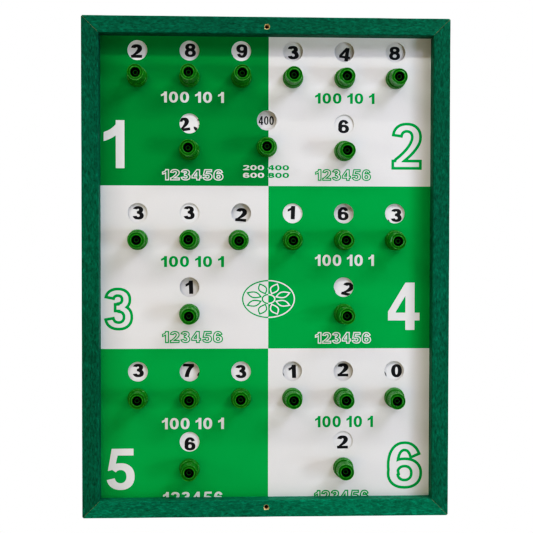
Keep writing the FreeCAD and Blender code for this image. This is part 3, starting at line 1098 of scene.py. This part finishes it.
def crossRecess(bm, x, z, front, radius, height, turn):
    arm, wide = panHead["armLength"] * radius, panHead["armHalfWidth"] * radius
    sides = panHead["sides"]
    angles = ringCorners(sides)
    rings = []
    for share, down in panHead["outline"]:
        reach, y = share * radius, front + down * height
        rings.append([bm.verts.new((x + reach * sin(a), y, z + reach * cos(a))) for a in angles])
    joinRings(bm, rings)
    bm.faces.new(rings[0][::-1])
    # the recess: twelve corners round the cross, repeated at its floor
    corners = []
    for quarter in range(4):
        a = quarter * pi / 2 + turn
        for along, across in ((arm, -wide), (arm, wide), (wide, wide)):
            corners.append((along * sin(a) + across * cos(a), along * cos(a) - across * sin(a)))
    floor, taper, count = front + panHead["recessDepth"] * height, panHead["recessTaper"], len(corners)
    top = [bm.verts.new((x + p, front, z + q)) for p, q in corners]
    bottom = [bm.verts.new((x + taper * p, floor, z + taper * q)) for p, q in corners]
    joinRings(bm, [top, bottom])
    bm.faces.new(bottom)
    rim = rings[-1]
    edges = [bm.edges.get((rim[i], rim[(i + 1) % sides])) for i in range(sides)]
    edges += [bm.edges.get((top[i], top[(i + 1) % count])) for i in range(count)]
    bmesh.ops.triangle_fill(bm, use_beauty=True, use_dissolve=False, edges=edges)


def leanOut(bm, name, back, front):
    # a knob sits a little crooked on its spindle
    right, up = dialSettings[name][4:]
    for vert in bm.verts:
        share = (back - vert.co.y) / (back - front)
        vert.co.x += right * mm * share
        vert.co.z += up * mm * share


def makeKnobs():
    for number, name in enumerate(dialNames):
        x, z = dialAxis(name)
        low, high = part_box("knob_" + name)
        bm = bmesh.new()
        addRings(bm, knobProfile(high.y, low.y), x, z, knob["sides"])
        leanOut(bm, name, high.y, low.y)
        piece = makeObject("turningKnob_" + name, meshFrom("turningKnob_" + name, bm, 50), knobGreen)
        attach(piece, "dial_" + name)
        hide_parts("knob_" + name)
        bm = bmesh.new()
        head = low.y + knob["wellDepth"] - knob["screwHeight"]
        turn = number * knob["screwTurn"]
        crossRecess(bm, x, z, head, knob["screwRadius"], knob["screwHeight"], turn)
        leanOut(bm, name, high.y, low.y)
        screw = makeObject("clampScrew_" + name, meshFrom("clampScrew_" + name, bm, 40), darkSteel)
        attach(screw, "dial_" + name)
    print("knobs made:", len(dialNames))


makeKnobs()

# frame rails: the rebated moulding with hand-rounded edges, mitred, and glue lines in the mitres
rail = {
    "stations": 160, "edgeRound": 1.3 * mm, "mitreGap": 0.10 * mm,
    "waver": 0.16 * mm, "waverLength": 45 * mm, "waverFade": 12,         # it dies out towards the mitres
    "cornerRadius": 3.4 * mm, "cornerSteps": (0.0, 0.7 * mm, 1.5 * mm, 2.4 * mm),
    "steps": {"side": 8, "round": 4, "face": 10, "inner": 5},           # points round the section
}
chip = {"sides": 48, "radius": 4.3 * mm, "stray": 1.28 * mm, "least": 0.15 * mm, "depth": 1.3 * mm,
        "coarse": 2.2, "fine": 6.0, "fineShare": 0.5}                   # how ragged its edge is
glue = {"width": 0.45 * mm, "steps": 40, "thickness": 1.2 * mm, "proud": 0.05 * mm, "crown": 0.8,
        "least": 0.1, "mean": 0.75, "fray": 1.1, "frayStep": 0.35}      # shares of the width
diagonal = 0.7071           # sine and cosine of 45 degrees


def railSection():
    # distance in from the outer edge, and depth, once round from the back outer corner
    worn, steps = rail["edgeRound"], rail["steps"]
    edge, flat = frontFace + worn, railFace - 2 * worn
    turns = [radians(90 * i / steps["round"]) for i in range(steps["round"] + 1)]
    section = [(0, edge * i / steps["side"]) for i in range(steps["side"])]
    section += [(worn - worn * cos(t), edge - worn * sin(t)) for t in turns]
    section += [(worn + flat * i / steps["face"], frontFace) for i in range(1, steps["face"])]
    section += [(railFace - worn + worn * sin(t), edge - worn * cos(t)) for t in turns]
    inner = steps["inner"]
    section += [(railFace, edge + (panelFront - edge) * i / inner) for i in range(1, inner + 1)]
    section += [(rearWall, panelFront), (rearWall, 0)]
    return section


def cornerPull(short, inset=0.0):
    # how far in the rounded outer corner draws the wood, at a distance from the mitre's end
    reach = rail["cornerRadius"]
    away = max(0.0, diagonal * reach - short)
    return (reach - sqrt(reach ** 2 - away ** 2)) * max(0.0, 1 - inset / (2 * reach))


def makeRail(name, upright, side, material):
    length, outer = (halfHeight, halfWidth) if upright else (halfWidth, halfHeight)
    section = railSection()
    bm = bmesh.new()
    rings = []
    ends = rail["cornerSteps"]
    stations = [(-1.0, short) for short in ends]
    stations += [(2 * i / rail["stations"] - 1, 0.0) for i in range(1, rail["stations"])]
    stations += [(1.0, short) for short in reversed(ends)]
    ownNoise = Vector((0, 0, 7.3 * side + 3 * upright))     # so that no two rails waver alike
    for t, short in stations:
        ring = []
        for inset, y in section:
            drawn = inset + (cornerPull(short, inset) if abs(t) == 1 else 0.0)
            along = t * (length - drawn - rail["mitreGap"] - short)
            spot = Vector((along, inset * 2, y * 2)) / rail["waverLength"] + ownNoise
            waver = rail["waver"] * noise.noise(spot) * (1 - abs(t) ** rail["waverFade"])
            if inset == rearWall or y >= panelFront:        # unseen, and straight
                waver = 0.0
            across = side * (outer - drawn - waver * (1 if inset < railFace / 2 else -1))
            depth = y + (waver if abs(y - frontFace) < 0.2 * mm else 0.0)
            ring.append(bm.verts.new((across, depth, along) if upright else (along, depth, across)))
        rings.append(ring)
    joinRings(bm, rings)
    bm.faces.new(rings[0])
    bm.faces.new(rings[-1][::-1])
    piece = makeObject(name, meshFrom(name, bm, 35), material)
    if not upright:
        drillRail(piece, side)
    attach(piece, "board")
    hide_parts("frame_" + {"railTop": "top", "railBottom": "bottom", "railLeft": "left",
                                   "railRight": "right"}[name])


def drillRail(piece, side):
    # the wall screw's hole, torn out round its mouth down to raw wood
    bm = bmesh.new()
    # depth, and how much of the chip's width is left there
    levels = ((frontFace - 2 * mm, 1.0), (frontFace - 0.3 * mm, 1.0),
              (frontFace + 0.5 * chip["depth"], 0.6), (frontFace + chip["depth"], 0.0), (1 * mm, 0.0))
    rings = []
    for y, torn in levels:
        ring = []
        for a in ringCorners(chip["sides"]):
            coarse = Vector((chip["coarse"] * cos(a), chip["coarse"] * sin(a), 5 * side))
            fine = Vector((chip["fine"] * cos(a), chip["fine"] * sin(a), 9 * side))
            ragged = noise.noise(coarse) + chip["fineShare"] * noise.noise(fine)
            wide = chip["radius"] - screwRadius + chip["stray"] * ragged
            radius = screwRadius + max(chip["least"], wide) * torn
            ring.append(bm.verts.new((radius * sin(a), y, side * screwHeight + radius * cos(a))))
        rings.append(ring)
    joinRings(bm, rings)
    bm.faces.new(rings[0])
    bm.faces.new(rings[-1][::-1])
    cutter = makeObject("drill", meshFrom("drill", bm), chippedWood)
    modifier = piece.modifiers.new("hole", "BOOLEAN")
    modifier.object, modifier.operation, modifier.solver = cutter, "DIFFERENCE", "EXACT"
    modifier.material_mode = "TRANSFER"
    evaluated = piece.evaluated_get(bpy.context.evaluated_depsgraph_get())
    piece.data = bpy.data.meshes.new_from_object(evaluated)
    piece.modifiers.remove(modifier)
    bpy.data.objects.remove(cutter)


def addGlueLine(bm, right, up):
    sections = []
    first = cornerPull(0.0) + 0.1 * mm
    for i in range(glue["steps"] + 1):
        inset = first + (railFace - first) * i / glue["steps"]
        x, z = right * (halfWidth - inset), up * (halfHeight - inset)
        fray = noise.noise(Vector((i * glue["frayStep"], right * 4.0, up * 9.0)))
        wide = glue["width"] / 2 * max(glue["least"], glue["mean"] + glue["fray"] * fray)
        # it follows the rails' rounded edges down
        drop = max(0.0, rail["edgeRound"] - min(inset, railFace - inset))
        y = frontFace + drop * 0.6 - glue["proud"]
        offset = Vector((right * wide, 0, -up * wide)) * diagonal
        low, high = Vector((x, y + glue["thickness"], z)), Vector((x, y, z))
        crown = offset * glue["crown"]
        sections.append([bm.verts.new(p) for p in (low - offset, high - crown, high + crown, low + offset)])
    joinRings(bm, sections)
    bm.faces.new(sections[0])
    bm.faces.new(sections[-1][::-1])


def makeGlueLines():
    # squeezed-out glue in the four mitres, broken here and there
    bm = bmesh.new()
    for right in (1, -1):
        for up in (1, -1):
            addGlueLine(bm, right, up)
    piece = makeObject("mitreGlue", meshFrom("mitreGlue", bm, 40), jointGlue)
    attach(piece, "board")


makeRail("railTop", False, 1, stainAlongX)
makeRail("railBottom", False, -1, stainBelow)
makeRail("railLeft", True, -1, stainAlongZ)
makeRail("railRight", True, 1, stainAlongZ)
makeGlueLines()
print("frame rails made")

# the back: the panel and blocks stay as they come, with screws round the panel's edge
backScrews = {
    "inset": 6.5 * mm, "radius": 3.4 * mm, "height": 0.9 * mm, "proud": 0.15 * mm,
    "along": (30 * mm, 200 * mm, 224 * mm),                         # into the blocks at the top and bottom
    "upward": (173.6 * mm, 149.6 * mm, -63.9 * mm, -87.9 * mm),     # into those at the sides
}


def screwTree():
    tree, inputs, output = startTree("backScrews", Screw="Object", Turn="Float", Seed="Int",
                                     Metal="Material")
    points = addNode(tree, "GeometryNodeMeshToPoints", {"Mesh": inputs["Geometry"]}).outputs[0]
    screw = addNode(tree, "GeometryNodeObjectInfo", {"Object": inputs["Screw"]}).outputs["Geometry"]
    turn = addNode(tree, "FunctionNodeRandomValue",
                   {2: 0.0, 3: inputs["Turn"], "Seed": inputs["Seed"]}).outputs[1]
    lean = addNode(tree, "ShaderNodeCombineXYZ", {1: turn}).outputs[0]
    screws = addNode(tree, "GeometryNodeInstanceOnPoints",
                     {"Points": points, "Instance": screw, "Rotation": lean}).outputs[0]
    screws = addNode(tree, "GeometryNodeRealizeInstances", {0: screws}).outputs[0]
    screws = addNode(tree, "GeometryNodeSetMaterial",
                     {"Geometry": screws, "Material": inputs["Metal"]}).outputs[0]
    endTree(tree, output, screws)
    return tree


def makeBackScrews():
    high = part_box("back_panel")[1]
    insetX, insetZ = high.x - backScrews["inset"], high.z - backScrews["inset"]
    places = []
    for x in backScrews["along"]:
        places += [(x, 0, insetZ), (x, 0, -insetZ), (-x, 0, insetZ), (-x, 0, -insetZ)]
    for z in backScrews["upward"]:
        places += [(insetX, 0, z), (-insetX, 0, z)]
    bm = bmesh.new()
    crossRecess(bm, 0, 0, -backScrews["proud"], backScrews["radius"], backScrews["height"], 0.0)
    bmesh.ops.rotate(bm, verts=bm.verts, cent=(0, 0, 0), matrix=Matrix.Rotation(pi, 3, "Z"))
    pattern = bpy.data.objects.new("screwPattern", meshFrom("screwPattern", bm, 40))
    mesh = bpy.data.meshes.new("backScrews")
    mesh.from_pydata(places, [], [])
    piece = makeObject("backScrews", mesh)
    runTree(piece, screwTree(), Screw=pattern, Turn=2 * pi, Seed=4, Metal=zincSteel)
    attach(piece, "board")
    print("back screws set:", len(places))


makeBackScrews()
plainNodes = {"back_panel": hardboard, "mounting_blocks": pineAcross, "spacer_blocks": pineAcross}
for node, material in plainNodes.items():
    mesh = bpy.data.objects[node].data
    mesh.materials.clear()
    mesh.materials.append(material)

print("everything is in place")
